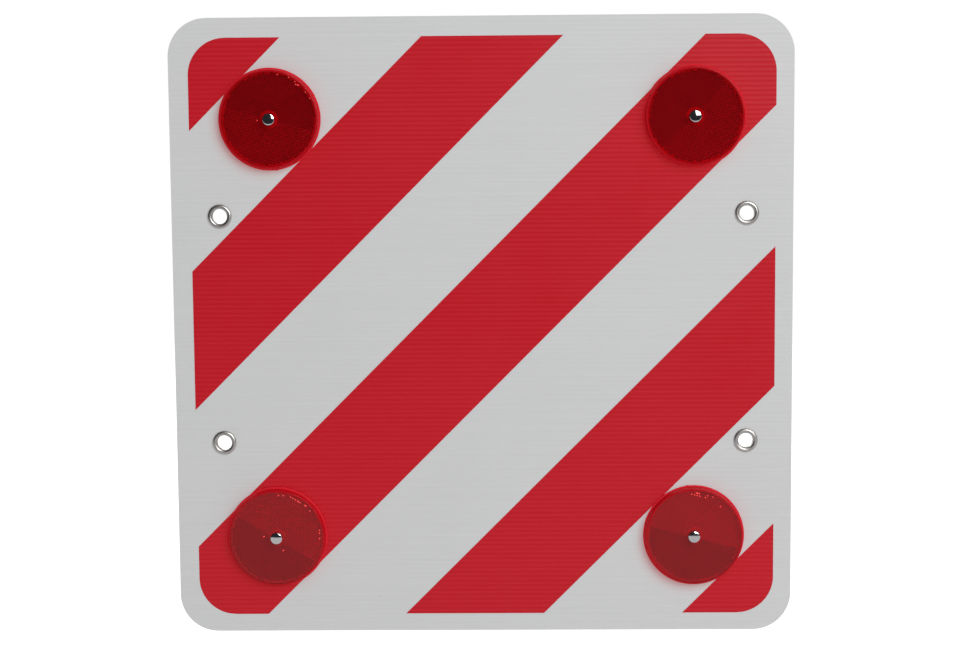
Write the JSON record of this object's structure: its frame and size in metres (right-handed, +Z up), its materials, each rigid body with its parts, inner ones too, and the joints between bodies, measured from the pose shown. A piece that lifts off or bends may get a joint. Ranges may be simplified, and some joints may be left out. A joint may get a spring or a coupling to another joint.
{
  "type": "overhanging load sign",
  "caption": "Square rear sign of fluted plastic sheet with diagonal red stripes, round red reflectors and metal eyelets for the cords that tie it to an overhanging load.",
  "frame": {"origin": "middle of the four eyelets, on the back face of the sheet", "axes": "+X to the right of someone facing the printed front, +Z up, front faces -Y"},
  "size_m": [0.5, 0.0159, 0.5],
  "materials": {
    "sheet": "white polypropylene twin-wall sheet, satin, with level flute lines",
    "print": "red screen print, satin, follows the flute lines",
    "lens": "clear red moulded acrylic, glossy, prisms behind the face",
    "back_plate": "dark red moulded plastic",
    "nickel": "bright nickel plate"
  },
  "bodies": {
    "root": {"panel": "sheet", "stripe_corner_top_left": "print", "stripe_upper": "print", "stripe_middle": "print", "stripe_lower": "print", "stripe_corner_bottom_right": "print", "reflector_lens_top_left": "lens", "reflector_lens_top_right": "lens", "reflector_lens_bottom_left": "lens", "reflector_lens_bottom_right": "lens", "reflector_back_top_left": "back_plate", "reflector_back_top_right": "back_plate", "reflector_back_bottom_left": "back_plate", "reflector_back_bottom_right": "back_plate", "rivet_top_left": "nickel", "rivet_top_right": "nickel", "rivet_bottom_left": "nickel", "rivet_bottom_right": "nickel", "rivet_cap_top_left": "nickel", "rivet_cap_top_right": "nickel", "rivet_cap_bottom_left": "nickel", "rivet_cap_bottom_right": "nickel", "eyelet_upper_left": "nickel", "eyelet_upper_right": "nickel", "eyelet_lower_left": "nickel", "eyelet_lower_right": "nickel", "eyelet_washer_upper_left": "nickel", "eyelet_washer_upper_right": "nickel", "eyelet_washer_lower_left": "nickel", "eyelet_washer_lower_right": "nickel"}
  },
  "joints": []
}
